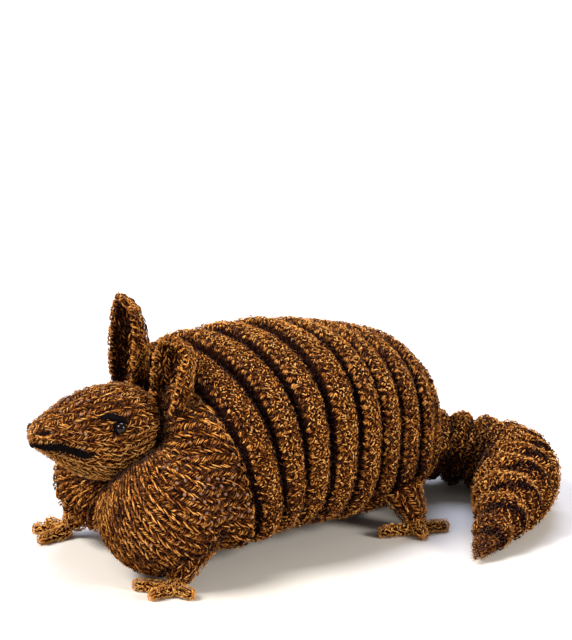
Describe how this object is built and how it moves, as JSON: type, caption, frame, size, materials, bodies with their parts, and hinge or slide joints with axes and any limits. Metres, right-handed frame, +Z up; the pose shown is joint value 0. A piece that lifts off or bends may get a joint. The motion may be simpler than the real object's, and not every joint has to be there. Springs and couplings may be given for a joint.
{
  "type": "knitted toy armadillo",
  "caption": "Stuffed toy armadillo knitted in brown tweed yarn, with a banded shell, cupped ears, bead eyes and a thick ringed tail curled to one side.",
  "frame": {"origin": "middle of the toy's footprint on the floor it stands on: the centre of the overall box, at its bottom", "axes": "+Z up, -Y the way the toy faces, +X its left side, towards which the tail curls; the length runs along Y"},
  "size_m": [0.1178, 0.1914, 0.0891],
  "materials": {
    "brown_tweed_knit": "fuzzy knitted tweed yarn, two strands held together",
    "dark_bead": "glossy",
    "black_thread": "satin-stitched embroidery wool"
  },
  "bodies": {
    "root": {"shoulder": "brown_tweed_knit", "band_1": "brown_tweed_knit", "band_2": "brown_tweed_knit", "band_3": "brown_tweed_knit", "band_4": "brown_tweed_knit", "band_5": "brown_tweed_knit", "band_6": "brown_tweed_knit", "band_7": "brown_tweed_knit", "band_8": "brown_tweed_knit", "rump": "brown_tweed_knit", "head": "brown_tweed_knit", "ear_left": "brown_tweed_knit", "ear_right": "brown_tweed_knit", "eye_left": "dark_bead", "eye_right": "dark_bead", "eyelid_left": "black_thread", "eyelid_right": "black_thread", "mouth": "black_thread", "leg_front_left": "brown_tweed_knit", "foot_front_left": "brown_tweed_knit", "leg_front_right": "brown_tweed_knit", "foot_front_right": "brown_tweed_knit", "leg_hind_left": "brown_tweed_knit", "foot_hind_left": "brown_tweed_knit", "leg_hind_right": "brown_tweed_knit", "foot_hind_right": "brown_tweed_knit", "tail_base": "brown_tweed_knit", "tail_middle": "brown_tweed_knit", "tail_tip": "brown_tweed_knit"}
  },
  "joints": []
}
